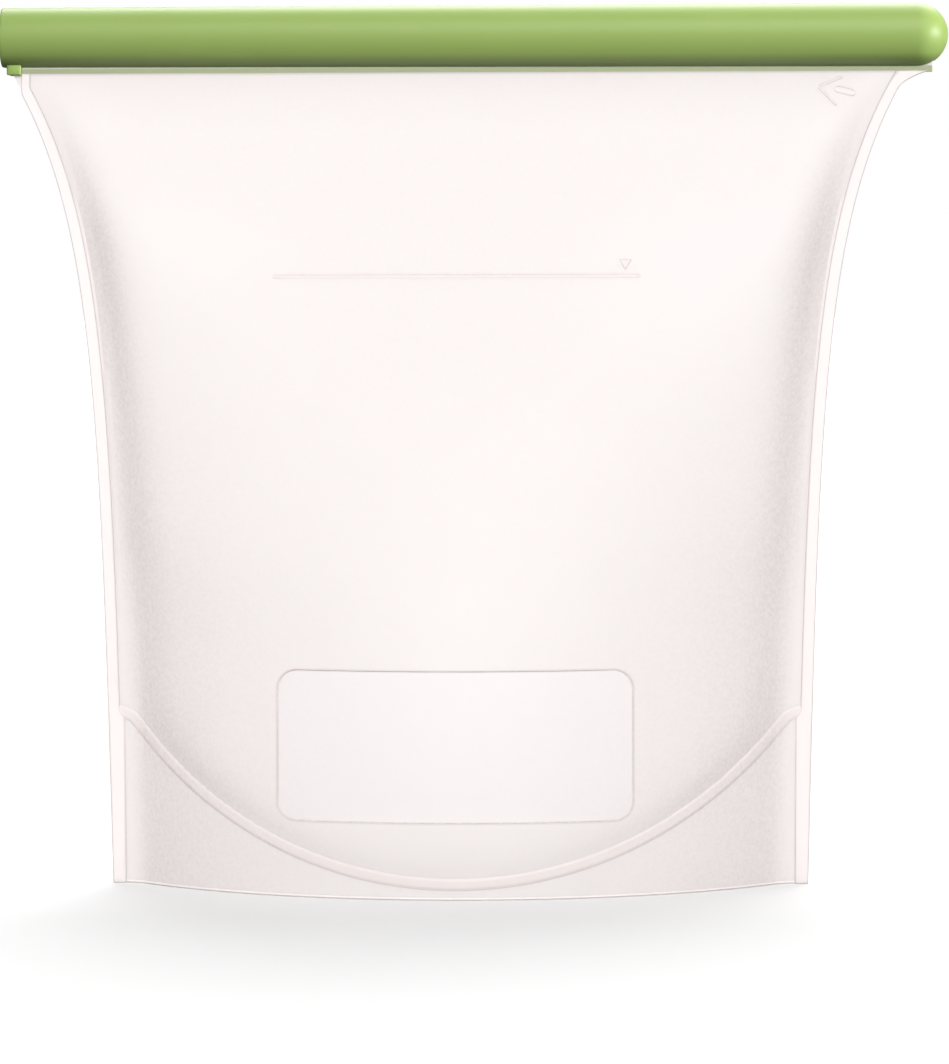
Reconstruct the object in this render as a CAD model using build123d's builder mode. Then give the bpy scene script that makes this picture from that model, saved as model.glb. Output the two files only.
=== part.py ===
"""Reusable silicone storage bag with a slide-on closure bar.

The bag stands on the lower edges of its two walls. X runs along the mouth, the front wall
faces -Y and Z is up, with the floor at Z = 0. The middle of the closure bar is at X = 0.
Sizes are in millimetres.
"""

import os
from math import exp, pi, sin, sqrt

from build123d import *

os.makedirs("parts", exist_ok=True)

# ---------------------------------------------------------------- driving dimensions

# the bag's outline, seen from the front
base_half_width = 88.8  # seam edge, at the floor
side_lean = 0.02  # outward lean of a side, per mm of height
flare = 21.0  # what the mouth adds to the half width
flare_length = 36.0  # height over which the flare fades by e
neck_height = 206.6  # where the two walls come together
seam_band = 3.2  # width of the bonded edge
corner_trim = 2.9  # cut off the left seam's top corner

# the walls and their depth
wall = 1.2  # silicone sheet
base_half_depth = 38.0  # standing depth of a wall at the floor
belly = 5.0  # how far the wall swells over its foot
edge_bend = 0.13  # share of the half width that bends back to the seam
slack = 0.04  # what is left of the swell at the neck

# the base gusset and its weld
weld_low = 4.1  # lowest point of the weld's centre line
weld_radius = 108.8
weld_bend = 7.0  # where the weld turns outwards to the seam
junction_height = 43.0  # where the weld meets the side seams
weld_width = 3.4
weld_relief = 0.8
bond_line = 0.02  # left between the wall and the rib that is bonded on it
gusset_trim = 3.0  # the gusset stops this short of the seams

# what is moulded into the front wall
window_width = 89.0
window_height = 38.5
window_corner = 5.0
window_foot = 20.6  # height of its lower edge
window_depth = 0.3
fill_line_height = 155.0
fill_line_length = 93.0
fill_line_width = 1.2
fill_mark_radius = 2.2  # the triangle over the line's right end
fill_mark_inset = 4.0  # its middle, from that end
fill_mark_lift = 3.0  # its middle, above the line
arrow_place = (91.5, 200.5)  # its tip
arrow_arm = 5.0
arrow_angle = 45.0  # of each arm to the shaft
arrow_stroke = 0.8
mark_relief = 0.4

# the closure bar
bar_length = 240.0
bar_radius_open = 7.65
bar_radius_dome = 8.05
bar_lift = 1.0  # underside of the bar above the neck
bore_radius = 5.2
slot_clearance = 0.4  # beside each face of the neck
bead_clearance = 0.6  # around the lips' bead
end_clearance = 0.5  # between the neck's end and the blind end of the bore
dome_wall = 3.5  # from the bore's blind end to the tip of the dome
neck_setback = 5.0  # the neck starts this far inside the open end
bag_shift = -4.0  # the bag's centre line against the middle of the bar
lug_length = 3.6
lug_drop = 1.8
lug_thickness = 1.6
lug_setback = 1.5
open_end_round = 0.6

# ---------------------------------------------------------------- what follows from them

bar_axis = neck_height + bar_lift + bar_radius_dome
bead_radius = bore_radius - bead_clearance
slot_width = 2 * (wall + slot_clearance)
bore_end = bar_length / 2 - dome_wall
neck_left = -bar_length / 2 + neck_setback
neck_right = bore_end - end_clearance

section_count = 12
section_crowding = 1.5  # over 1, the sections crowd together towards the neck
heights = [neck_height * (1 - (1 - i / section_count) ** section_crowding) for i in range(section_count + 1)]
deep = 2 * (base_half_depth + belly)

front_view = Plane(origin=(bag_shift, 0, 0), x_dir=(1, 0, 0), z_dir=(0, -1, 0))


def outer_half_width(z):
    """Half width of the bag over its seams."""
    return base_half_width + side_lean * z + flare * exp((z - neck_height) / flare_length)


def inner_half_width(z):
    """Half width of a wall between the seams."""
    return outer_half_width(z) - seam_band


def swell(z):
    """How far a wall stands out of the seam plane at mid width, beyond its own thickness."""
    swollen = base_half_depth - wall + belly * sin(pi * z / neck_height)
    return slack + swollen * sin(pi / 2 * (1 - z / neck_height))


# ---------------------------------------------------------------- shared shapes


def arch(middle, touch, end):
    """A crown arc through the middle, with an arc on each side that bends back level."""
    crown = ThreePointArc((-touch[0], touch[1]), middle, touch)
    TangentArc(crown @ 1, end, tangent=crown % 1)
    TangentArc(crown @ 0, (-end[0], end[1]), tangent=-(crown % 0))


def skin_arch(z, proud):
    """The line across the front wall at height z, proud of the wall's outer face."""
    half = inner_half_width(z) + seam_band / 2
    rise = swell(z)
    radii = (rise**2 + half**2) / (2 * rise)
    across, along = half / radii, 1 - rise / radii
    touch_x = (1 - edge_bend) * half + proud * across
    touch_y = wall + edge_bend * rise + proud * along
    arch((0, -wall - rise - proud), (touch_x, -touch_y), (half, -wall - proud))


def wall_shell(outside, inside):
    """The front wall between two faces, each a distance proud of its outer face."""
    with BuildPart() as shell:
        for z in heights:
            half = inner_half_width(z) + seam_band / 2
            with BuildSketch(Plane(origin=(bag_shift, 0, z))):
                with BuildLine():
                    skin_arch(z, outside)
                    skin_arch(z, inside)
                    for end in (-half, half):
                        Line((end, -wall - outside), (end, -wall - inside))
                make_face()
        loft()
        with BuildSketch(front_view):
            with BuildLine():
                right = Spline(*[(inner_half_width(z), z) for z in heights])
                left = Spline(*[(-inner_half_width(z), z) for z in heights])
                Line(left @ 0, right @ 0)
                Line(left @ 1, right @ 1)
            make_face()
        extrude(amount=deep, both=True, mode=Mode.INTERSECT)
    return shell.part


def weld_band(width):
    """A U-shaped band of this width about the weld's line, seen from the front."""
    centre_z = weld_low + weld_radius
    drop = centre_z - junction_height + weld_bend
    reach = weld_radius + weld_bend
    bend_x = sqrt(reach**2 - drop**2)
    seam_x = outer_half_width(junction_height)
    with BuildSketch(front_view) as band:
        with BuildLine():
            for shift in (-width / 2, width / 2):
                share = (weld_radius - shift) / reach
                touch = (bend_x * share, centre_z - drop * share)
                level = junction_height + shift
                arch((0, weld_low + shift), touch, (bend_x, level))
                for side in (-1, 1):
                    Line((side * bend_x, level), (side * seam_x, level))
            for side in (-1, 1):
                foot, head = junction_height - width / 2, junction_height + width / 2
                Line((side * seam_x, foot), (side * seam_x, head))
        make_face()
    return band.sketch


# ---------------------------------------------------------------- walls

plain_wall = wall_shell(0, -wall)

# the thin layer of the wall that the label window is sunk into
with BuildPart() as window_recess:
    add(wall_shell(mark_relief, -window_depth))
    with BuildSketch(front_view):
        with Locations((0, window_foot + window_height / 2)):
            RectangleRounded(window_width, window_height, window_corner)
    extrude(amount=deep, mode=Mode.INTERSECT)

# the fill line, a small triangle over its end, and the arrow of the closing direction
with BuildPart() as raised_marks:
    add(wall_shell(mark_relief, -wall / 2))
    with BuildSketch(front_view):
        with Locations((0, fill_line_height)):
            Rectangle(fill_line_length, fill_line_width)
        with Locations((fill_line_length / 2 - fill_mark_inset, fill_line_height + fill_mark_lift)):
            RegularPolygon(fill_mark_radius, 3, rotation=-90)
        with Locations(arrow_place):
            for turn in (-arrow_angle, 0, arrow_angle):
                Rectangle(arrow_arm, arrow_stroke, rotation=turn, align=(Align.MIN, Align.CENTER))
    extrude(amount=deep, mode=Mode.INTERSECT)

with BuildPart() as front_panel:
    add(plain_wall)
    add(window_recess.part, mode=Mode.SUBTRACT)
    add(raised_marks.part)
front_panel.part.label = "front_panel"

with BuildPart() as back_panel:
    mirror(plain_wall, about=Plane.XZ)
back_panel.part.label = "back_panel"

# ---------------------------------------------------------------- base

with BuildPart() as front_base_weld:
    add(wall_shell(weld_relief, bond_line))
    extrude(weld_band(weld_width), amount=deep, mode=Mode.INTERSECT)
front_base_weld.part.label = "front_base_weld"

with BuildPart() as back_base_weld:
    mirror(front_base_weld.part, about=Plane.XZ)
back_base_weld.part.label = "back_base_weld"

# the boat-shaped floor of the bag: a strip along the weld's line, cut off at the walls
with BuildPart() as gusset_strip:
    extrude(weld_band(wall), amount=deep / 2 + wall, both=True)
    with BuildSketch(front_view):
        Rectangle(2 * (inner_half_width(junction_height) - gusset_trim), 3 * junction_height)
    extrude(amount=deep, both=True, mode=Mode.INTERSECT)
    add(plain_wall, mode=Mode.SUBTRACT)
    add(back_panel.part, mode=Mode.SUBTRACT)

with BuildPart() as base_gusset:
    add(gusset_strip.solids().sort_by(lambda piece: abs(piece.center().Y))[0])
base_gusset.part.label = "base_gusset"

# ---------------------------------------------------------------- side seams


def side_seam(side, corner):
    """The bonded edge on one side, as deep as both walls, trimmed at its top corner."""
    with BuildPart() as seam:
        with BuildSketch(front_view):
            with BuildLine():
                inner = Spline(*[(side * inner_half_width(z), z) for z in heights])
                outer = Spline(*[(side * outer_half_width(z), z) for z in heights])
                Line(inner @ 0, outer @ 0)
                Line(inner @ 1, outer @ 1)
            make_face()
            Rectangle(2 * corner, 3 * neck_height, mode=Mode.INTERSECT)
        extrude(amount=wall, both=True)
    return seam.part


left_side_seam = side_seam(-1, outer_half_width(neck_height) - corner_trim)
left_side_seam.label = "left_side_seam"
right_side_seam = side_seam(1, outer_half_width(neck_height))
right_side_seam.label = "right_side_seam"

# ---------------------------------------------------------------- mouth

# one lip: a neck as thick as the wall, and a half-round bead on it
with BuildPart() as front_mouth_bead:
    with BuildSketch(Plane.YZ.offset(neck_left)):
        with BuildLine():
            bead_foot = bar_axis - sqrt(bead_radius**2 - wall**2)
            bead_head = bar_axis + bead_radius
            bead = ThreePointArc((-wall, bead_foot), (-bead_radius, bar_axis), (0, bead_head))
            Polyline(bead @ 1, (0, neck_height), (-wall, neck_height), bead @ 0)
        make_face()
    extrude(amount=neck_right - neck_left)
front_mouth_bead.part.label = "front_mouth_bead"

with BuildPart() as back_mouth_bead:
    mirror(front_mouth_bead.part, about=Plane.XZ)
back_mouth_bead.part.label = "back_mouth_bead"

# ---------------------------------------------------------------- closure bar

with BuildPart() as closure_bar:
    # the tapered tube and its round end
    with BuildSketch(Plane.XZ):
        with BuildLine():
            tip = bar_length / 2
            dome_start = (tip - bar_radius_dome, bar_axis + bar_radius_dome)
            side = Line((-tip, bar_axis + bar_radius_open), dome_start)
            dome = RadiusArc(side @ 1, (tip, bar_axis), bar_radius_dome)
            Polyline(dome @ 1, (-tip, bar_axis), side @ 0)
        make_face()
    revolve(axis=Axis((0, 0, bar_axis), (1, 0, 0)))
    open_end = closure_bar.edges().filter_by(GeomType.CIRCLE).sort_by(Axis.X)[0]
    fillet(open_end, radius=open_end_round)
    # the bore for the lips and the slot for the neck, both blind under the dome
    with BuildSketch(Plane.YZ.offset(-tip)):
        with Locations((0, bar_axis)):
            Circle(bore_radius)
            Rectangle(slot_width, bar_radius_dome + lug_drop, align=(Align.CENTER, Align.MAX))
    extrude(amount=bore_end + tip, mode=Mode.SUBTRACT)
    # the lugs that guide the lips in
    lug_root = bar_radius_open - lug_thickness / 2
    lug_middle = -tip + lug_setback + lug_length / 2
    for side_of_slot in (-1, 1):
        lug_y = side_of_slot * (slot_width / 2 + slot_clearance + lug_thickness / 2)
        with Locations((lug_middle, lug_y, bar_axis - lug_root)):
            lug_height = bar_radius_open + lug_drop - lug_root
            Box(lug_length, lug_thickness, lug_height, align=(Align.CENTER, Align.CENTER, Align.MAX))
closure_bar.part.label = "closure_bar"

# ---------------------------------------------------------------- export

pieces = [
    front_panel.part,
    back_panel.part,
    base_gusset.part,
    front_base_weld.part,
    back_base_weld.part,
    left_side_seam,
    right_side_seam,
    front_mouth_bead.part,
    back_mouth_bead.part,
    closure_bar.part,
]
for piece in pieces:
    export_step(piece, f"parts/{piece.label}.step")
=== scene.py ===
"""The looks of a reusable silicone bag with a slide-on closure bar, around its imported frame.

Every sheet of the bag is modelled flat, as seen from the front, and then puffed: a vertex at
(x, -proud, z) goes to the wall's outer face at (x, z) and stands proud of it along its normal.
Sizes are in metres. X runs along the mouth, the front faces -Y and the floor is at Z = 0.
"""

from math import asin, atan2, cos, exp, hypot, pi, radians, sin, sqrt

import bmesh
import bpy
from mathutils import Matrix, Vector


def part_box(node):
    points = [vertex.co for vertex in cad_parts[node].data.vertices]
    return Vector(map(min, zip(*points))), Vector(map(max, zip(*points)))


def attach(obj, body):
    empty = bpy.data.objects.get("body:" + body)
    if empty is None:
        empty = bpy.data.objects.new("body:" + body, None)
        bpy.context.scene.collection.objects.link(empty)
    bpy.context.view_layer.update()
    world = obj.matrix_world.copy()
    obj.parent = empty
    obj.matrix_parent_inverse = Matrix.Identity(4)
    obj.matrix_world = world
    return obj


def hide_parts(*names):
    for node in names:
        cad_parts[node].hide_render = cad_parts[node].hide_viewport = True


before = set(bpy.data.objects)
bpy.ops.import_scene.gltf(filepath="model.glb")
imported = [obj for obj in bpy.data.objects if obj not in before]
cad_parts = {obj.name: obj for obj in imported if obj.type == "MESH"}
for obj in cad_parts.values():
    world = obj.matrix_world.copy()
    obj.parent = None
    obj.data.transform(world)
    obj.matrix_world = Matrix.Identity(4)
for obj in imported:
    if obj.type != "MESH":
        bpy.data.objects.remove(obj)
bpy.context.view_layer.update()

MM = 0.001

# ---------------------------------------------------------------- sizes, from the frame

BAR_LOW, BAR_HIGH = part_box("closure_bar")
LIP_LOW, LIP_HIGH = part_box("front_mouth_bead")
LEFT_SEAM_LOW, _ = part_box("left_side_seam")
WALL_LOW, WALL_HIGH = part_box("front_panel")

NECK = WALL_HIGH.z  # where the two walls come together
BAG_X = (WALL_LOW.x + WALL_HIGH.x) / 2  # the bag's centre line
LEFT_CORNER = LEFT_SEAM_LOW.x - BAG_X  # the left seam's corner is trimmed here
BAR_RADIUS_DOME = 8.05 * MM
BAR_AXIS = BAR_HIGH.z - BAR_RADIUS_DOME  # the dome is centred on the bar's axis

BAG_BODY = "bag"
BAR_BODY = "closure"

# ---------------------------------------------------------------- the wall's shape

# by the formulas of the frame's own walls, with a tighter bend at the seams
WALL = 1.2 * MM
BASE_HALF_WIDTH = 88.8 * MM
SIDE_LEAN = 0.02
FLARE = 21 * MM
FLARE_LENGTH = 36 * MM
SEAM_BAND = 3.2 * MM
BASE_HALF_DEPTH = 38 * MM
BELLY = 5 * MM
EDGE_BEND = 0.09
SLACK = 0.04 * MM

# the weld of the base
WELD_LOW = 4.1 * MM
WELD_RADIUS = 108.8 * MM
WELD_BEND = 7 * MM
JUNCTION = 44.2 * MM  # the height at which the weld meets the seams
WELD_WIDTH = 3.4 * MM

# the swell that the wall gains close to a seam, before its depth tells
SHOULDER = 15 * MM
SHOULDER_SHARE = 0.95  # of the wall's own swell, at most
SHOULDER_LOSS = 0.32  # it is lower where the wall swells more
SHOULDER_BLEND = 6  # how sharply one limit takes over from the other
SHOULDER_REACH = 6.5 * MM
SHOULDER_CURVE = 1.6
SHOULDER_FOOT = 55 * MM  # over the skirts there is no shoulder
SHOULDER_HEAD = 95 * MM

# the soft bulge of the wall over the weld
BILLOW = 2.6 * MM
BILLOW_RISE = 4.5 * MM
BILLOW_FADE = 42 * MM
BILLOW_MIDDLE = 0.35  # its share at mid width
BILLOW_FULL = 60 * MM  # the distance from mid width at which it has its whole share
BILLOW_SIDE = 16 * MM  # the width over which it dies away towards a seam

SLOPE_STEP = 0.2 * MM  # for the wall's slopes, taken as differences


def ease(share):
    """A smooth step from 0 to 1."""
    share = min(1, max(0, share))
    return share * share * (3 - 2 * share)


def outer_half_width(z):
    """Half width of the bag over its seams, at height z."""
    return BASE_HALF_WIDTH + SIDE_LEAN * z + FLARE * exp((z - NECK) / FLARE_LENGTH)


def swell(z):
    """How far a wall stands out of the seam plane at mid width, beyond its own thickness."""
    swollen = BASE_HALF_DEPTH - WALL + BELLY * sin(pi * z / NECK)
    closing = min(1.0, max(0.0, 1 - z / NECK))
    return SLACK + swollen * sin(pi / 2 * closing)


def arched_depth(x, z):
    """How far in front of the seam plane the arch of the front wall is."""
    half = outer_half_width(z) - SEAM_BAND / 2
    rise = swell(z)
    radii = (rise**2 + half**2) / (2 * rise)
    crown, bend = (1 - EDGE_BEND) * radii, EDGE_BEND * radii
    across = min(abs(x), half)
    if across < (1 - EDGE_BEND) * half:
        arch = rise - crown + sqrt(crown**2 - across**2)
    else:
        rest = half - across
        arch = bend - sqrt(bend**2 - rest**2)
    lifted = ease((z - SHOULDER_FOOT) / (SHOULDER_HEAD - SHOULDER_FOOT))
    shallow, deep = SHOULDER_SHARE * rise, SHOULDER - SHOULDER_LOSS * rise
    smaller = (shallow**-SHOULDER_BLEND + deep**-SHOULDER_BLEND) ** (-1 / SHOULDER_BLEND)
    shoulder = smaller * lifted
    inside = max(0, half - SEAM_BAND / 2 - across)
    climb = 1 - exp(-((inside / SHOULDER_REACH) ** SHOULDER_CURVE))
    return WALL + arch * (1 - shoulder / rise) + shoulder * climb


def above_weld(x, z):
    """How far a point of the wall is above the line of the weld."""
    in_arc = WELD_RADIUS - hypot(x, z - WELD_LOW - WELD_RADIUS)
    return max(in_arc, z - JUNCTION)


def billow(x, z):
    """The soft bulge with which the wall comes off the weld."""
    above = above_weld(x, z) - WELD_WIDTH / 2
    if above <= 0:
        return 0
    half = outer_half_width(z) - SEAM_BAND
    side = ease((half - abs(x)) / BILLOW_SIDE)
    middle = min(1, abs(x) / BILLOW_FULL)
    share = BILLOW_MIDDLE + (1 - BILLOW_MIDDLE) * middle * middle
    return BILLOW * share * side * (1 - exp(-above / BILLOW_RISE)) * exp(-above / BILLOW_FADE)


def wall_depth(x, z):
    """How far in front of the seam plane the front wall's outer face is."""
    return arched_depth(x, z) + billow(x, z)


def puff(bm):
    """Takes a flat piece of the front wall to its puffed place."""
    step = SLOPE_STEP
    for vert in bm.verts:
        x, flat, z = vert.co
        depth = wall_depth(x, z)
        slope_x = (wall_depth(x + step, z) - wall_depth(x - step, z)) / (2 * step)
        slope_z = (wall_depth(x, z + step) - wall_depth(x, z - step)) / (2 * step)
        normal = Vector((-slope_x, -1, -slope_z)).normalized()
        vert.co = Vector((x + BAG_X, -depth, z)) - normal * flat


# ---------------------------------------------------------------- making pieces


def new_mesh(bm, name):
    """The bmesh as a mesh; the bmesh is used up."""
    mesh = bpy.data.meshes.new(name)
    bm.to_mesh(mesh)
    bm.free()
    return mesh


def new_object(name, data):
    """An object with this data, in the scene."""
    made = bpy.data.objects.new(name, data)
    bpy.context.scene.collection.objects.link(made)
    return made


def finished(bm, name, body, material, nodes=(), smooth_angle=35):
    """The bmesh as a piece that rides on a body, stands for its nodes and has its finish."""
    mesh = new_mesh(bm, name)
    piece = new_object(name, mesh)
    mesh.shade_smooth()
    mesh.set_sharp_from_angle(angle=radians(smooth_angle))
    mesh.materials.append(material)
    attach(piece, body)
    if nodes:
        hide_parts(*nodes)
    return piece


def to_back(bm):
    """Turns a piece of the front wall into the same piece of the back wall."""
    bmesh.ops.scale(bm, vec=(1, -1, 1), verts=bm.verts)
    bmesh.ops.reverse_faces(bm, faces=bm.faces)


def flat_grid(columns, rows, place):
    """A grid whose corners are at (-1, 0) to (1, 1), each vertex taken to place(u, v)."""
    bm = bmesh.new()
    bmesh.ops.create_grid(bm, x_segments=columns, y_segments=rows, size=1)
    for vert in bm.verts:
        vert.co = place(vert.co.x, (vert.co.y + 1) / 2)
    bmesh.ops.recalc_face_normals(bm, faces=bm.faces)
    if sum(face.normal.y for face in bm.faces) > 0:
        bmesh.ops.reverse_faces(bm, faces=bm.faces)
    return bm


def thicken(bm, thickness):
    """Gives a flat sheet that faces the front its thickness, behind its face."""
    bmesh.ops.solidify(bm, geom=bm.faces[:], thickness=thickness)
    bmesh.ops.recalc_face_normals(bm, faces=bm.faces)


def round_edges(bm, edges, radius, segments=3, clamp=True):
    """Rounds these edges; clamped, the rounding stops where it would meet another."""
    bmesh.ops.bevel(
        bm, geom=edges, offset=radius, affect="EDGES", segments=segments, profile=0.5,
        material=-1, clamp_overlap=clamp,
    )


def sharp_edges(bm, degrees):
    """The edges whose two faces turn by more than this."""
    return [
        edge for edge in bm.edges
        if len(edge.link_faces) == 2 and edge.calc_face_angle(0) > radians(degrees)
    ]


def boolean(target, cutter, operation):
    """The target's bmesh joined with or cut by the cutter's, both closed."""
    body = new_object("target", new_mesh(target, "target"))
    tool = new_object("cutter", new_mesh(cutter, "cutter"))
    cut = body.modifiers.new("cut", "BOOLEAN")
    cut.object = tool
    cut.operation = operation
    cut.solver = "EXACT"
    evaluated = body.evaluated_get(bpy.context.evaluated_depsgraph_get())
    result = bmesh.new()
    result.from_mesh(evaluated.to_mesh())
    for holder in (body, tool):
        mesh = holder.data
        bpy.data.objects.remove(holder)
        bpy.data.meshes.remove(mesh)
    return result


def join(parts):
    """Several bmeshes as one."""
    whole = bmesh.new()
    for part in parts:
        mesh = new_mesh(part, "part")
        whole.from_mesh(mesh)
        bpy.data.meshes.remove(mesh)
    return whole


# ---------------------------------------------------------------- camera, light, stage

CAMERA_TARGET = Vector((-0.0001, 0, 0.0898))
CAMERA_DISTANCE = 1.321
CAMERA_YAW = radians(2.02)
CAMERA_DIP = radians(3.08)
CAMERA_ROLL = radians(-0.15)
CAMERA_LENS = 196.6
CAMERA_SENSOR = 36
CAMERA_CLIP = 0.05

# each light's azimuth, elevation and spread in degrees, and its power
FRONT_LIGHT = (4, 8, 30, 3.1)
LEFT_LIGHT = (-84, 6, 40, 1.1)
RIGHT_LIGHT = (88, 6, 40, 0.85)
BACK_LIGHT = (173, 49, 50, 3.2)
BAR_LIGHT = (5, 35, 40, 1.9)
DOME_LIGHT = (70, 2, 30, 7.0)

SKY_STRENGTH = 0.25
FLOOR_SIZE = 12
FLOOR_SEEN = 0.51  # the floor's grey as the camera sees it
FLOOR_BOUNCE = 0.22  # and as the light does
FLOOR_GLOW = 0.56  # what the camera sees on top of that


def make_camera():
    """A long lens from slightly above the front, a little to the right."""
    data = bpy.data.cameras.new("camera")
    data.sensor_fit = "HORIZONTAL"
    data.sensor_width = CAMERA_SENSOR
    data.lens = CAMERA_LENS
    data.clip_start = CAMERA_CLIP
    camera = new_object("camera", data)
    level = cos(CAMERA_DIP)
    ahead = Vector((-sin(CAMERA_YAW) * level, cos(CAMERA_YAW) * level, -sin(CAMERA_DIP)))
    camera.location = CAMERA_TARGET - ahead * CAMERA_DISTANCE
    turn = ahead.to_track_quat("-Z", "Y").to_matrix().to_4x4()
    turn = turn @ Matrix.Rotation(CAMERA_ROLL, 4, "Z")
    camera.rotation_euler = turn.to_euler()
    bpy.context.scene.camera = camera


def sun(name, azimuth, elevation, angle, power):
    """A soft distant light; the azimuth is 0 in front and grows to the right."""
    data = bpy.data.lights.new(name, "SUN")
    data.energy = power
    data.angle = radians(angle)
    light = new_object(name, data)
    around, up = radians(azimuth), radians(elevation)
    towards = Vector((sin(around) * cos(up), -cos(around) * cos(up), sin(up)))
    light.location = towards * 2
    light.rotation_euler = (-towards).to_track_quat("-Z", "Y").to_euler()
    return light


def light_links(light, objects, state):
    """The objects that a light leaves out, or the only ones that it reaches."""
    linked = bpy.data.collections.new(light.name + "_links")
    for i, item in enumerate(objects):
        linked.objects.link(item)
        linked.collection_objects[i].light_linking.link_state = state
    light.light_linking.receiver_collection = linked


def make_floor():
    """White to look at, except for its shadows, and grey as a light."""
    bm = bmesh.new()
    bmesh.ops.create_grid(bm, x_segments=1, y_segments=1, size=FLOOR_SIZE)
    mesh = new_mesh(bm, "floor")
    floor = new_object("floor", mesh)
    material, tree, shader = new_material("studio_floor", Roughness=0.7, Specular_IOR_Level=0.1)
    seen = node(tree, "ShaderNodeLightPath", {}, out="Is Camera Ray")
    grey = blend_colours(tree, seen, (FLOOR_BOUNCE,) * 3, (FLOOR_SEEN,) * 3)
    feed(tree, shader, "Base Color", grey)
    feed(tree, shader, "Emission Color", blend_colours(tree, seen, (0, 0, 0), (1, 1, 1)))
    shader.inputs["Emission Strength"].default_value = FLOOR_GLOW
    mesh.materials.append(material)
    return floor


def make_world():
    """White to look at, dimmer as a light."""
    world = bpy.data.worlds.new("studio")
    bpy.context.scene.world = world
    world.use_nodes = True
    tree = world.node_tree
    background = tree.nodes["Background"]
    background.inputs["Color"].default_value = (1, 1, 1, 1)
    seen = node(tree, "ShaderNodeLightPath", {}, out="Is Camera Ray")
    strength = node(tree, "ShaderNodeMapRange", {}, Value=seen, To_Min=SKY_STRENGTH, To_Max=1.0)
    feed(tree, background, "Strength", strength)


def make_studio(slide_bar):
    """The stage; the silicone and the bar have their own lights."""
    floor = make_floor()
    make_world()
    lights = (
        sun("front_light", *FRONT_LIGHT),
        sun("left_light", *LEFT_LIGHT),
        sun("right_light", *RIGHT_LIGHT),
    )
    sun("back_light", *BACK_LIGHT)
    for light in lights:
        light_links(light, [floor, slide_bar], "EXCLUDE")
    light_links(sun("bar_light", *BAR_LIGHT), [slide_bar], "INCLUDE")
    light_links(sun("dome_light", *DOME_LIGHT), [slide_bar], "INCLUDE")


def make_view():
    """Colours as they are, with no film look."""
    settings = bpy.context.scene.view_settings
    settings.view_transform = "Standard"
    settings.look = "None"
    settings.exposure = 0.0


# ---------------------------------------------------------------- materials

# painted shade for the dark lines along creases and borders, round the window and under the bar
PAINTED_CREASE_SHADE = (0.52, 0.44, 0.43)
CLEAR_TINT = (0.980, 0.898, 0.894)  # inside the label window
NECK_REFLECTION_AND_SHADE = (0.35, 0.40, 0.22)  # painted reflection of the green bar, with painted shade, on the lips' neck just under it
NECK_REFLECTION_LOW, NECK_REFLECTION_HIGH = 1.1 * MM, 1.6 * MM  # it fades out above the neck's foot

# the silicone's grain, its soft clouds, and the painted shade, speckled, on faces turned
# sideways
GRAIN_SCALE = 1500.0
GRAIN_DEPTH = 0.06 * MM
GRAIN_ROUGHNESS = 0.1
CLOUD_SCALE = 30.0
CLOUD_SHADE = 0.975
SPECKLE_SCALE = 1100.0
SIDEWAYS_SHADE_DARK = (0.53, 0.45, 0.43)
SIDEWAYS_SHADE_LIGHT = (0.77, 0.68, 0.65)

# how much of the painted crease shade each line of the bag takes; below the bar it is a painted
# shadow of the bar, and right under it a painted dark line
CREASE_SHARE = 0.7
OUTLINE_SHARE = 0.34  # painted shade round the label window
BAR_SHADOW_SHARE = 0.12
BAR_SHADE_LINE_SHARE = 0.6
BAR_SHADOW_REACH = 15 * MM
BAR_SHADE_LINE_REACH = 0.7 * MM
WINDOW_CALM = 0.85  # how much of the grain is missing in the window

PLASTIC_TINTS = (0.262, 0.378, 0.094), (0.278, 0.396, 0.104)
PLASTIC_UNDERSIDE_SHADE = (0.10, 0.15, 0.035)  # painted shade on its underside
PLASTIC_GRAIN_SCALE = 2200.0
PLASTIC_GRAIN_DEPTH = 0.05 * MM
PLASTIC_CLOUD_SCALE = 40.0


class Shade:
    """A socket that can be used in sums, so that shader maths reads as Python."""

    def __init__(self, tree, socket):
        self.tree, self.socket = tree, socket

    def _math(self, operation, *values):
        return node(self.tree, "ShaderNodeMath", {"operation": operation}, *values)

    def __add__(self, other):
        return self._math("ADD", self, other)

    def __sub__(self, other):
        return self._math("SUBTRACT", self, other)

    def __rsub__(self, other):
        return self._math("SUBTRACT", other, self)

    def __mul__(self, other):
        return self._math("MULTIPLY", self, other)

    def absolute(self):
        return self._math("ABSOLUTE", self)

    def power(self, exponent):
        return self._math("POWER", self, exponent)

    def at_least(self, other):
        return self._math("MAXIMUM", self, other)

    __radd__ = __add__
    __rmul__ = __mul__


def node(tree, kind, settings, *values, out=0, links=None, **named):
    """Adds a node, sets it up, links or fills its sockets, and gives its output."""
    made = tree.nodes.new(kind)
    for key, value in settings.items():
        setattr(made, key, value)
    sockets = dict(enumerate(values)) | {k.replace("_", " "): v for k, v in named.items()}
    for key, value in (sockets | (links or {})).items():
        if isinstance(value, Shade):
            tree.links.new(value.socket, made.inputs[key])
        else:
            made.inputs[key].default_value = value
    return Shade(tree, made.outputs[out])


def new_material(name, **constants):
    """A material, its node tree and its shader, with these constants set."""
    material = bpy.data.materials.new(name)
    material.use_nodes = True
    tree = material.node_tree
    shader = tree.nodes["Principled BSDF"]
    for key, value in constants.items():
        shader.inputs[key.replace("_", " ")].default_value = value
    return material, tree, shader


def feed(tree, shader, socket, value):
    """Links a value into one of the shader's sockets."""
    tree.links.new(value.socket, shader.inputs[socket])


def coordinates(tree, kind):
    """Where a point of the piece is, or which way it faces."""
    return node(tree, "ShaderNodeTexCoord", {}, out=kind)


def noise(tree, place, scale, detail=2.0):
    """Noise from 0 to 1, with this many cells to the metre."""
    return node(tree, "ShaderNodeTexNoise", {}, Vector=place, Scale=scale, Detail=detail)


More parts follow.
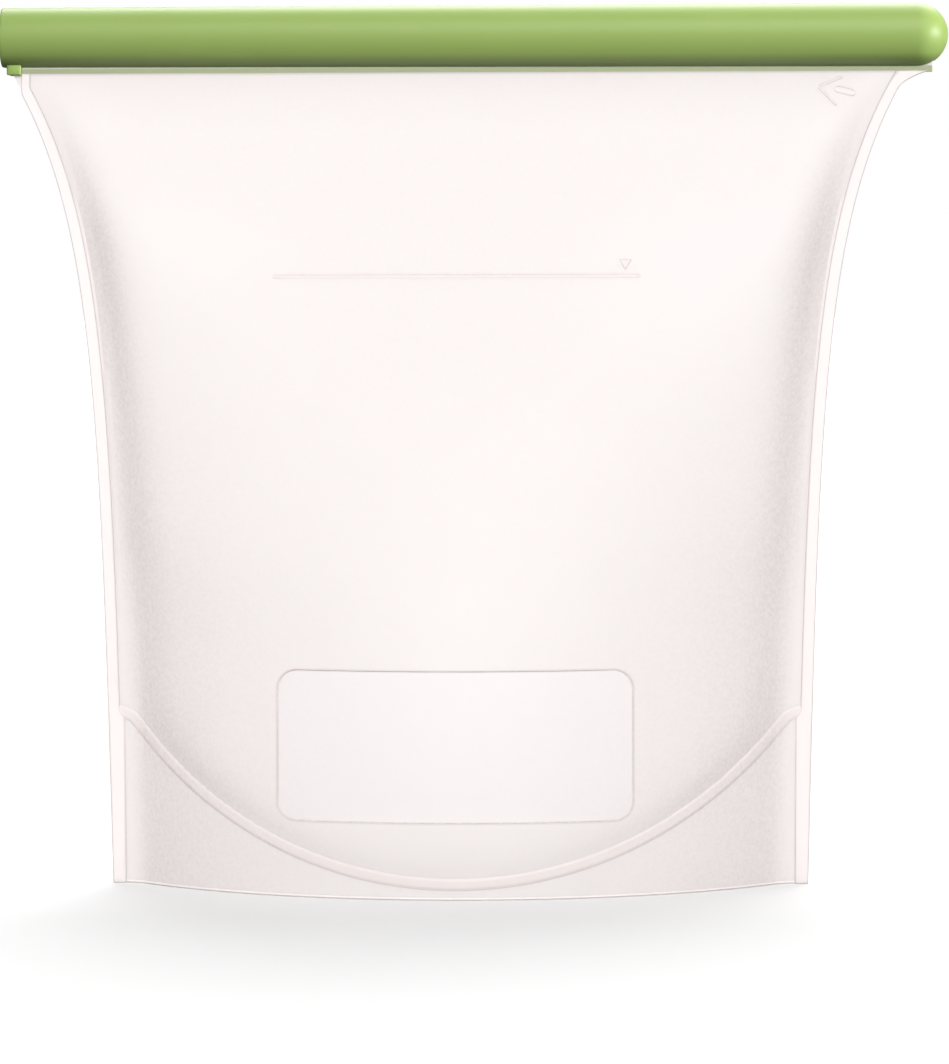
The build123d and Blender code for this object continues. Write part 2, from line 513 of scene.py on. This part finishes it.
def parts_of(tree, vector):
    """The three parts of a vector."""
    made = node(tree, "ShaderNodeSeparateXYZ", {}, vector).socket.node
    return [Shade(tree, output) for output in made.outputs]


def ramp(tree, value, start, end):
    """0 up to the start, 1 from the end on, straight in between."""
    return node(tree, "ShaderNodeMapRange", {}, Value=value, links={1: start, 2: end})


def blend_colours(tree, factor, low, high):
    """A colour from low to high as the factor goes from 0 to 1."""
    colours = {i: c if isinstance(c, Shade) else (*c, 1) for i, c in ((6, low), (7, high))}
    return node(tree, "ShaderNodeMix", {"data_type": "RGBA"}, factor, out=2, links=colours)


def window_distance(tree, x, z):
    """How far a point is outside the round-cornered border of the label window."""
    middle = WINDOW_FOOT + WINDOW_HEIGHT / 2
    beside = (x - BAG_X).absolute() - (WINDOW_WIDTH / 2 - WINDOW_CORNER)
    above = (z - middle).absolute() - (WINDOW_HEIGHT / 2 - WINDOW_CORNER)
    corner = (beside.at_least(0.0).power(2.0) + above.at_least(0.0).power(2.0)).power(0.5)
    nearer = beside.at_least(above)
    return corner - nearer.at_least(0.0) + nearer - WINDOW_CORNER


def silicone(
    name, tint, roughness=0.5, frost=0.25, spread=0.3, window=False, edges=True, neck_reflection=False
):
    """Frosted translucent silicone: light that spreads inside it, a fine blasted grain, and
    painted shade on faces turned sideways, along creases, round the window and under the bar,
    with a painted reflection of the bar on the lips' neck.
    """
    material, tree, shader = new_material(
        name,
        Roughness=roughness,
        Subsurface_Weight=spread,
        Subsurface_Radius=(1.0, 0.85, 0.8),
        Subsurface_Scale=0.003,
        IOR=1.41,
        Specular_IOR_Level=0.35,
    )
    place = coordinates(tree, "Object")
    x, _, z = parts_of(tree, place)
    grain = noise(tree, place, GRAIN_SCALE)
    cloud = noise(tree, place, CLOUD_SCALE)
    colour = blend_colours(tree, cloud, tuple(c * CLOUD_SHADE for c in tint), tint)
    strength = frost
    if window:
        # painted shade round the label window, a painted shadow of the bar below the neck and a
        # painted dark line right under the bar
        distance = window_distance(tree, x, z)
        inside = ramp(tree, distance, 0.0, -0.5 * MM)
        outline = ramp(tree, distance.absolute(), 0.5 * MM, 0.1 * MM)
        bar_shadow = ramp(tree, z, NECK - BAR_SHADOW_REACH, NECK)
        bar_shade_line = ramp(tree, z, NECK - BAR_SHADE_LINE_REACH, NECK)
        colour = blend_colours(tree, inside, colour, CLEAR_TINT)
        colour = blend_colours(tree, OUTLINE_SHARE * outline, colour, PAINTED_CREASE_SHADE)
        colour = blend_colours(tree, BAR_SHADOW_SHARE * bar_shadow, colour, PAINTED_CREASE_SHADE)
        colour = blend_colours(tree, BAR_SHADE_LINE_SHARE * bar_shade_line, colour, PAINTED_CREASE_SHADE)
        strength = frost * (1 - WINDOW_CALM * inside)
    # painted shade: faces turned sideways from the front get darker, speckled
    if edges:
        turned = 1 - parts_of(tree, coordinates(tree, "Normal"))[1].absolute()
        speckle = ramp(tree, noise(tree, place, SPECKLE_SCALE, 1.0), 0.3, 0.7)
        shade = blend_colours(tree, speckle, SIDEWAYS_SHADE_DARK, SIDEWAYS_SHADE_LIGHT)
        colour = blend_colours(tree, turned, colour, shade)
        # painted crease shade along the borders of seam bands and ribs, weighted by the mesh's
        # own attribute
        crease = node(tree, "ShaderNodeAttribute", {"attribute_name": "crease"}, out="Fac")
        colour = blend_colours(tree, CREASE_SHARE * crease, colour, PAINTED_CREASE_SHADE)
    # painted reflection of the green bar, with painted shade, low on the lips' neck
    if neck_reflection:
        lower = ramp(tree, z, NECK + NECK_REFLECTION_HIGH, NECK + NECK_REFLECTION_LOW)
        colour = blend_colours(tree, lower, colour, NECK_REFLECTION_AND_SHADE)
    feed(tree, shader, "Base Color", colour)
    rough = roughness - GRAIN_ROUGHNESS / 2 + GRAIN_ROUGHNESS * grain
    feed(tree, shader, "Roughness", rough)
    bump = node(
        tree, "ShaderNodeBump", {}, Strength=strength, Distance=GRAIN_DEPTH, Height=grain
    )
    feed(tree, shader, "Normal", bump)
    return material


def green_plastic():
    """Satin moulded plastic with a very fine spark-eroded grain, and painted shade on its
    underside.
    """
    material, tree, shader = new_material(
        "leaf_green_plastic", Roughness=0.4, Specular_IOR_Level=0.45, IOR=1.47
    )
    place = coordinates(tree, "Object")
    grain = noise(tree, place, PLASTIC_GRAIN_SCALE, 3.0)
    cloud = noise(tree, place, PLASTIC_CLOUD_SCALE)
    colour = blend_colours(tree, cloud, *PLASTIC_TINTS)
    # painted shade on faces that turn down
    facing_up = parts_of(tree, coordinates(tree, "Normal"))[2]
    underside_shade = ramp(tree, facing_up, -0.6, -1.0)
    feed(tree, shader, "Base Color", blend_colours(tree, underside_shade, colour, PLASTIC_UNDERSIDE_SHADE))
    feed(tree, shader, "Roughness", 0.41 + 0.08 * grain)
    bump = node(
        tree, "ShaderNodeBump", {}, Strength=0.12, Distance=PLASTIC_GRAIN_DEPTH, Height=grain
    )
    feed(tree, shader, "Normal", bump)
    return material


# ---------------------------------------------------------------- the walls

WINDOW_WIDTH = 89 * MM
WINDOW_HEIGHT = 37.8 * MM
WINDOW_CORNER = 5 * MM
WINDOW_FOOT = 19.4 * MM
WINDOW_DEPTH = 0.35 * MM
WINDOW_SLOPE = 0.35 * MM  # of the recess's border
WALL_COLUMNS = 120
WALL_ROWS = 132
WALL_TUCK = 0.6 * MM  # how far the wall stops short of the seams' outer edges

CUTTER_PROUD = 2 * MM
CUTTER_COLUMNS = 72
CUTTER_ROWS = 36

SKIN = 0.05 * MM  # the thickness of what is raised on a wall; it is let a little into it
HEM_HEIGHT = 0.9 * MM
HEM_RELIEF = 0.28 * MM
HEM_SUNK = 0.2 * MM
HEM_HALF_LENGTH = 85.4 * MM


def flat_wall():
    """One wall as a flat slab, a little under the seam bands at its sides."""

    def place(u, v):
        z = v * NECK
        return Vector((u * (outer_half_width(z) - WALL_TUCK), 0, z))

    bm = flat_grid(WALL_COLUMNS, WALL_ROWS, place)
    thicken(bm, WALL)
    return bm


def rounded_block(width, height, corner, front, back, foot, taper):
    """A block with rounded corners as seen from the front, narrower at its back by the taper."""
    bm = bmesh.new()
    bmesh.ops.create_cube(bm, size=1)
    bmesh.ops.scale(bm, vec=(width, back - front, height), verts=bm.verts)
    corners = [e for e in bm.edges if abs(e.verts[0].co.y - e.verts[1].co.y) > 1e-6]
    round_edges(bm, corners, corner, segments=10, clamp=False)
    deep = [v for v in bm.verts if v.co.y > 0]
    bmesh.ops.scale(bm, vec=(1 - 2 * taper / width, 1, 1 - 2 * taper / height), verts=deep)
    bmesh.ops.translate(bm, vec=(0, (front + back) / 2, foot + height / 2), verts=bm.verts)
    return bm


def window_cutter():
    """What the label window takes out of the flat wall: a block with a floor that can bend."""

    def place(u, v):
        z = WINDOW_FOOT + WINDOW_HEIGHT * (1.4 * v - 0.2)
        return Vector((u * WINDOW_WIDTH * 0.6, -CUTTER_PROUD, z))

    slab = flat_grid(CUTTER_COLUMNS, CUTTER_ROWS, place)
    thicken(slab, CUTTER_PROUD + WINDOW_DEPTH)
    block = rounded_block(
        WINDOW_WIDTH + WINDOW_SLOPE, WINDOW_HEIGHT + WINDOW_SLOPE, WINDOW_CORNER,
        -WINDOW_DEPTH, 2 * WINDOW_DEPTH, WINDOW_FOOT - WINDOW_SLOPE / 2, 1.5 * WINDOW_SLOPE,
    )
    return boolean(slab, block, "INTERSECT")


def make_walls(front_material, back_material):
    """The front wall with its label window, and the plain back wall."""
    front = boolean(flat_wall(), window_cutter(), "DIFFERENCE")
    puff(front)
    finished(front, "front_wall", BAG_BODY, front_material, ["front_panel"], 30)
    back = flat_wall()
    puff(back)
    to_back(back)
    finished(back, "back_wall", BAG_BODY, back_material, ["back_panel"], 30)


def make_hem(name, back, material):
    """The fine bead along the lower edge of a wall."""

    def place(u, v):
        flat = HEM_SUNK - (HEM_SUNK + HEM_RELIEF) * sin(pi * v)
        return Vector((u * HEM_HALF_LENGTH, flat, v * HEM_HEIGHT))

    bm = flat_grid(200, 8, place)
    thicken(bm, SKIN)
    puff(bm)
    if back:
        to_back(bm)
    finished(bm, name, BAG_BODY, material)


# ---------------------------------------------------------------- raised marks

BORDER_SHARE = 0.3  # of a raised strip's width, on each side, rises in a round border

STRIP_SUNK = 0.15 * MM
FILL_HEIGHT = 155 * MM
FILL_LENGTH = 93 * MM
FILL_WIDTH = 1.2 * MM
LINE_RELIEF = 0.12 * MM

MARK_RADIUS = 2.2 * MM
MARK_TOP_RADIUS = 1.5 * MM
MARK_DEPTH = 0.6 * MM
MARK_INSET = 4 * MM  # from the fill line's right end
MARK_ABOVE = 3.2 * MM

ARROW_TIP = Vector((91.2, 0, 202.5)) * MM
ARROW_RELIEF = 0.32 * MM
ARM_LENGTH = 6.6 * MM
ARM_WIDTH = 0.8 * MM
ARM_TURNS = (-23, 45)
SHAFT_OFFSET = Vector((4.1, 0, -0.4)) * MM
SHAFT_LENGTH = 5.4 * MM
SHAFT_WIDTH = 2.1 * MM
SHAFT_TURN = 14


def raised(v, sunk, relief):
    """How far behind the wall's face the face of a raised strip is, across its width."""
    border = min(1, min(v, 1 - v) / BORDER_SHARE)
    return sunk - (sunk + relief) * sin(border * pi / 2)


def raised_strip(length, width, relief, start, turn, segments):
    """A flat raised strip from a start point, turned in the front view."""

    def place(u, v):
        reach = (u + 1) / 2 * length
        aside = (v - 0.5) * width
        ends = min(1.0, min(reach, length - reach) / (width / 2))
        aside *= sqrt(1 - (1 - ends) ** 2)
        spot = Vector((reach, 0, aside))
        spot.rotate(Matrix.Rotation(radians(turn), 3, "Y"))
        return Vector((start.x + spot.x, raised(v, STRIP_SUNK, relief), start.z + spot.z))

    bm = flat_grid(segments, 10, place)
    thicken(bm, SKIN)
    return bm


def make_marks(material):
    """The fill line, a plain triangle over its right end, and the arrow that closes the bag."""
    start = Vector((-FILL_LENGTH / 2, 0, FILL_HEIGHT))
    line = raised_strip(FILL_LENGTH, FILL_WIDTH, LINE_RELIEF, start, 0, 120)
    puff(line)
    finished(line, "fill_line", BAG_BODY, material)

    mark = bmesh.new()
    bmesh.ops.create_cone(
        mark, cap_ends=True, segments=3, radius1=MARK_RADIUS, radius2=MARK_TOP_RADIUS,
        depth=MARK_DEPTH,
    )
    bmesh.ops.rotate(mark, matrix=Matrix.Rotation(radians(90), 3, "X"), verts=mark.verts)
    bmesh.ops.rotate(mark, matrix=Matrix.Rotation(radians(60), 3, "Y"), verts=mark.verts)
    spot = (FILL_LENGTH / 2 - MARK_INSET, 0, FILL_HEIGHT + MARK_ABOVE)
    bmesh.ops.translate(mark, vec=spot, verts=mark.verts)
    puff(mark)
    finished(mark, "fill_mark", BAG_BODY, material)

    tail = ARROW_TIP + SHAFT_OFFSET
    strips = [
        raised_strip(ARM_LENGTH, ARM_WIDTH, ARROW_RELIEF, ARROW_TIP, turn, 30)
        for turn in ARM_TURNS
    ]
    strips.append(raised_strip(SHAFT_LENGTH, SHAFT_WIDTH, ARROW_RELIEF, tail, SHAFT_TURN, 30))
    arrow = join(strips)
    puff(arrow)
    finished(arrow, "closing_arrow", BAG_BODY, material)


# ---------------------------------------------------------------- the seams

BAND_PROUD = 0.35 * MM
BAND_STEPS = (0, 0.15, 0.5, 0.88, 1)  # across a band; the outer ones keep the painted shade of its borders narrow
BAND_ROWS = 300
BAND_ROUND = 0.3 * MM
BAND_SHADE_REACH = 0.1 * MM  # a band's borders take the painted crease shade within this of its edges
UPPER_BAND = 3.1 * MM
LOWER_INNER = 85.4 * MM
WIDENING = 1.5 * MM  # the height over which a band gets wider, under the weld's ends
CORNER_BAND = 2.3 * MM  # the left band's width where its corner is trimmed
DOME_FLARE = 5.2 * MM  # the right band's wider corner under the dome
DOME_FLARE_HEIGHT = 4.5 * MM


def seam_inner(z):
    """Where the seam band ends on the wall's side; it is wider below the weld."""
    upper = outer_half_width(z) - UPPER_BAND
    share = min(1, max(0, (JUNCTION - z) / WIDENING))
    return upper + (min(LOWER_INNER, upper) - upper) * share


def make_seam(side, name, node_name, material):
    """The bonded band down one side, -1 for the left and 1 for the right."""

    def band(z):
        inner, outer = seam_inner(z), outer_half_width(z)
        if side < 0:
            outer = min(outer, -LEFT_CORNER)
            return min(inner, outer - CORNER_BAND), outer
        return inner, outer + DOME_FLARE * max(0, 1 - (NECK - z) / DOME_FLARE_HEIGHT) ** 2

    def place(u, v):
        z = v * NECK
        inner, outer = band(z)
        share = BAND_STEPS[round((u + 1) / 2 * (len(BAND_STEPS) - 1))]
        x = side * (inner + (outer - inner) * share) + BAG_X
        return Vector((x, -WALL - BAND_PROUD, z))

    bm = flat_grid(len(BAND_STEPS) - 1, BAND_ROWS, place)
    thicken(bm, 2 * (WALL + BAND_PROUD))
    # painted crease shade along both borders of the band
    crease = bm.verts.layers.float.new("crease")
    for vert in bm.verts:
        across, (inner, outer) = abs(vert.co.x - BAG_X), band(vert.co.z)
        if across < inner + BAND_SHADE_REACH or across > outer - BAND_SHADE_REACH:
            vert[crease] = 1
    round_edges(bm, sharp_edges(bm, 60), BAND_ROUND)
    finished(bm, name, BAG_BODY, material, [node_name])


# ---------------------------------------------------------------- the base

RIB_SUNK = 0.05 * MM
RIB_RELIEF = 0.26 * MM
RIB_SKIN = 0.1 * MM
# how much painted crease shade the rib's borders take
RIB_BORDER_SHADE = 0.8
GUSSET_THICKNESS = 1.1 * MM
GUSSET_LEAST = 0.2 * MM  # the gusset's half depth at its pointed ends


def weld_point(t, shift):
    """A point of the weld's line, moved up by shift; t runs from -1 to 1 along it."""
    centre_z = WELD_LOW + WELD_RADIUS
    drop = centre_z - JUNCTION + WELD_BEND
    reach = WELD_RADIUS + WELD_BEND
    bend_x = sqrt(reach**2 - drop**2)
    turn = atan2(bend_x, drop)
    arc_length, bend_length = WELD_RADIUS * turn, WELD_BEND * turn
    along = abs(t) * (arc_length + bend_length)
    side = 1 if t >= 0 else -1
    if along < arc_length:
        angle = along / WELD_RADIUS
        radius = WELD_RADIUS - shift
        return side * radius * sin(angle), centre_z - radius * cos(angle)
    angle = turn - (along - arc_length) / WELD_BEND
    radius = WELD_BEND + shift
    return side * (bend_x - radius * sin(angle)), JUNCTION - WELD_BEND + radius * cos(angle)


def make_weld(name, node_name, back, material):
    """The raised U-shaped rib, flat on top with round borders that take painted shade, let a
    little into the wall.
    """

    def place(u, v):
        x, z = weld_point(u, (v - 0.5) * WELD_WIDTH)
        return Vector((x, raised(v, RIB_SUNK, RIB_RELIEF), z))

    bm = flat_grid(260, 12, place)
    # painted crease shade on the rib's sunk borders
    crease = bm.verts.layers.float.new("crease")
    for vert in bm.verts:
        vert[crease] = RIB_BORDER_SHADE * (vert.co.y > RIB_SUNK / 2)
    thicken(bm, RIB_SKIN)
    puff(bm)
    if back:
        to_back(bm)
    finished(bm, name, BAG_BODY, material, [node_name])


def make_gusset(material):
    """The boat-shaped floor of the bag, from wall to wall along the weld's line."""

    def place(u, v):
        x, z = weld_point(u, 0)
        inside = max(GUSSET_LEAST, wall_depth(x, z) - WALL)
        return Vector((x + BAG_X, inside * (2 * v - 1), z))

    bm = flat_grid(120, 24, place)
    bmesh.ops.recalc_face_normals(bm, faces=bm.faces)
    if sum(face.normal.z for face in bm.faces) > 0:
        bmesh.ops.reverse_faces(bm, faces=bm.faces)
    thicken(bm, GUSSET_THICKNESS)
    finished(bm, "base_gusset_floor", BAG_BODY, material, ["base_gusset"])


# ---------------------------------------------------------------- the lips of the mouth

LIP_STEPS = 20
LIP_ROUND = 0.8 * MM
NECK_HALF = 1.1 * MM
NECK_FOOT = 0.3 * MM  # how far the lips' necks reach down between the walls


def make_lip(name, node_name, back, material):
    """A half-round bead on a thin neck, run along the mouth with rounded ends."""
    radius = LIP_HIGH.z - BAR_AXIS
    foot = asin(NECK_HALF / radius)
    outline = [(0, radius)]
    for i in range(1, LIP_STEPS + 1):
        angle = (pi - foot) * i / LIP_STEPS
        outline.append((-radius * sin(angle), radius * cos(angle)))
    neck_z = NECK - NECK_FOOT - BAR_AXIS
    outline += [(-NECK_HALF, neck_z), (0, neck_z)]
    bm = bmesh.new()
    verts = [bm.verts.new((LIP_LOW.x, y, BAR_AXIS + z)) for y, z in outline]
    face = bm.faces.new(verts)
    made = bmesh.ops.extrude_face_region(bm, geom=[face])
    moved = [v for v in made["geom"] if isinstance(v, bmesh.types.BMVert)]
    bmesh.ops.translate(bm, vec=(LIP_HIGH.x - LIP_LOW.x, 0, 0), verts=moved)
    bmesh.ops.recalc_face_normals(bm, faces=bm.faces)
    ends = [
        e for e in bm.edges
        if abs(e.verts[0].co.x - e.verts[1].co.x) < 1e-7 and min(v.co.z for v in e.verts) > NECK
        and max(abs(v.co.y) for v in e.verts) > NECK_HALF / 2
    ]
    round_edges(bm, ends, LIP_ROUND)
    if back:
        to_back(bm)
    finished(bm, name, BAG_BODY, material, [node_name])


# ---------------------------------------------------------------- the closure bar

BAR_RADIUS_OPEN = 7.65 * MM
BORE_RADIUS = 5.2 * MM
SLOT_WIDTH = 3.2 * MM
DOME_WALL = 3.5 * MM
OPEN_END_ROUND = 0.6 * MM
OPEN_END_STEPS = 4
BAR_STEPS = 96
DOME_STEPS = 20
BAR_EDGE_ROUND = 0.25 * MM
LUG_LENGTH = 3.6 * MM
LUG_THICKNESS = 1.6 * MM
LUG_SETBACK = 1.5 * MM
LUG_GAP = 0.4 * MM
LUG_ROUND = 0.35 * MM


def bar_tube():
    """The solid tapered bar with its dome, spun round its axis."""
    start, dome = BAR_LOW.x, BAR_HIGH.x - BAR_RADIUS_DOME
    outline = [(start, 0.0)]
    for i in range(OPEN_END_STEPS + 1):
        angle = i / OPEN_END_STEPS * pi / 2
        outline.append((
            start + OPEN_END_ROUND * (1 - cos(angle)),
            BAR_RADIUS_OPEN - OPEN_END_ROUND * (1 - sin(angle)),
        ))
    for i in range(DOME_STEPS + 1):
        angle = i / DOME_STEPS * pi / 2
        outline.append((dome + BAR_RADIUS_DOME * sin(angle), BAR_RADIUS_DOME * cos(angle)))
    bm = bmesh.new()
    verts = [bm.verts.new((x, 0, BAR_AXIS - radius)) for x, radius in outline]
    edges = [bm.edges.new(pair) for pair in zip(verts, verts[1:])]
    bmesh.ops.spin(
        bm, geom=verts + edges, cent=(0, 0, BAR_AXIS), axis=(1, 0, 0), dvec=(0, 0, 0),
        angle=2 * pi, steps=BAR_STEPS, use_merge=True, use_duplicate=False,
    )
    bmesh.ops.remove_doubles(bm, verts=bm.verts, dist=1e-6)
    bmesh.ops.recalc_face_normals(bm, faces=bm.faces)
    return bm


def bore_cutter(start, end):
    """The cylinder that is bored out of the bar between two places along it."""
    bm = bmesh.new()
    bmesh.ops.create_cone(
        bm, cap_ends=True, segments=BAR_STEPS, radius1=BORE_RADIUS, radius2=BORE_RADIUS,
        depth=end - start,
    )
    bmesh.ops.rotate(bm, matrix=Matrix.Rotation(radians(90), 3, "Y"), verts=bm.verts)
    bmesh.ops.translate(bm, vec=((start + end) / 2, 0, BAR_AXIS), verts=bm.verts)
    return bm


def block(low, high):
    """A block between two corners."""
    bm = bmesh.new()
    bmesh.ops.create_cube(bm, size=1)
    bmesh.ops.scale(bm, vec=high - low, verts=bm.verts)
    bmesh.ops.translate(bm, vec=(low + high) / 2, verts=bm.verts)
    return bm


def make_lug(side):
    """One of the two guide lugs under the bar's open end, beside the slot."""
    near = SLOT_WIDTH / 2 + LUG_GAP
    across = sorted((side * near, side * (near + LUG_THICKNESS)))
    top = BAR_AXIS - BAR_RADIUS_OPEN + LUG_THICKNESS / 2
    low = Vector((BAR_LOW.x + LUG_SETBACK, across[0], BAR_LOW.z))
    lug = block(low, Vector((low.x + LUG_LENGTH, across[1], top)))
    round_edges(lug, lug.edges[:], LUG_ROUND, clamp=False)
    return lug


def make_bar(material):
    """The C-section bar: bored and slotted from its open end, with its dome left solid."""
    start, end = BAR_LOW.x - 1 * MM, BAR_HIGH.x - DOME_WALL
    bored = boolean(bar_tube(), bore_cutter(start, end), "DIFFERENCE")
    slot_low = Vector((start, -SLOT_WIDTH / 2, BAR_AXIS - 2 * BAR_RADIUS_DOME))
    slot = block(slot_low, Vector((end, SLOT_WIDTH / 2, BAR_AXIS)))
    bar = boolean(bored, slot, "DIFFERENCE")
    round_edges(bar, sharp_edges(bar, 50), BAR_EDGE_ROUND, segments=2)
    whole = join([bar, make_lug(-1), make_lug(1)])
    return finished(
        whole, "slide_bar", BAR_BODY, material, ["closure_bar"], 30
    )


# ---------------------------------------------------------------- the whole object

make_camera()
make_view()

front_silicone = silicone("front_silicone", (0.930, 0.856, 0.846), window=True)
back_silicone = silicone("back_silicone", (0.930, 0.856, 0.846))
bond_silicone = silicone("bond_silicone", (0.925, 0.850, 0.838), roughness=0.45, frost=0.15)
# the hem's tint is lighter than the walls': a painted light rim along the bottom edge
hem_silicone = silicone("hem_silicone", (0.955, 0.890, 0.880), spread=0.0, edges=False)
rib_silicone = silicone("rib_silicone", (0.875, 0.798, 0.785), spread=0.0)
gusset_silicone = silicone("gusset_silicone", (0.90, 0.82, 0.80), edges=False)
lip_silicone = silicone(
    "lip_silicone", (0.93, 0.85, 0.83), roughness=0.4, frost=0.1, edges=False, neck_reflection=True
)
leaf_green = green_plastic()

make_walls(front_silicone, back_silicone)
make_hem("front_hem", False, hem_silicone)
make_hem("back_hem", True, hem_silicone)
make_marks(rib_silicone)
make_seam(-1, "left_seam_band", "left_side_seam", bond_silicone)
make_seam(1, "right_seam_band", "right_side_seam", bond_silicone)
make_weld("front_weld_rib", "front_base_weld", False, rib_silicone)
make_weld("back_weld_rib", "back_base_weld", True, rib_silicone)
make_gusset(gusset_silicone)
make_lip("front_lip", "front_mouth_bead", False, lip_silicone)
make_lip("back_lip", "back_mouth_bead", True, lip_silicone)
slide_bar = make_bar(leaf_green)
make_studio(slide_bar)
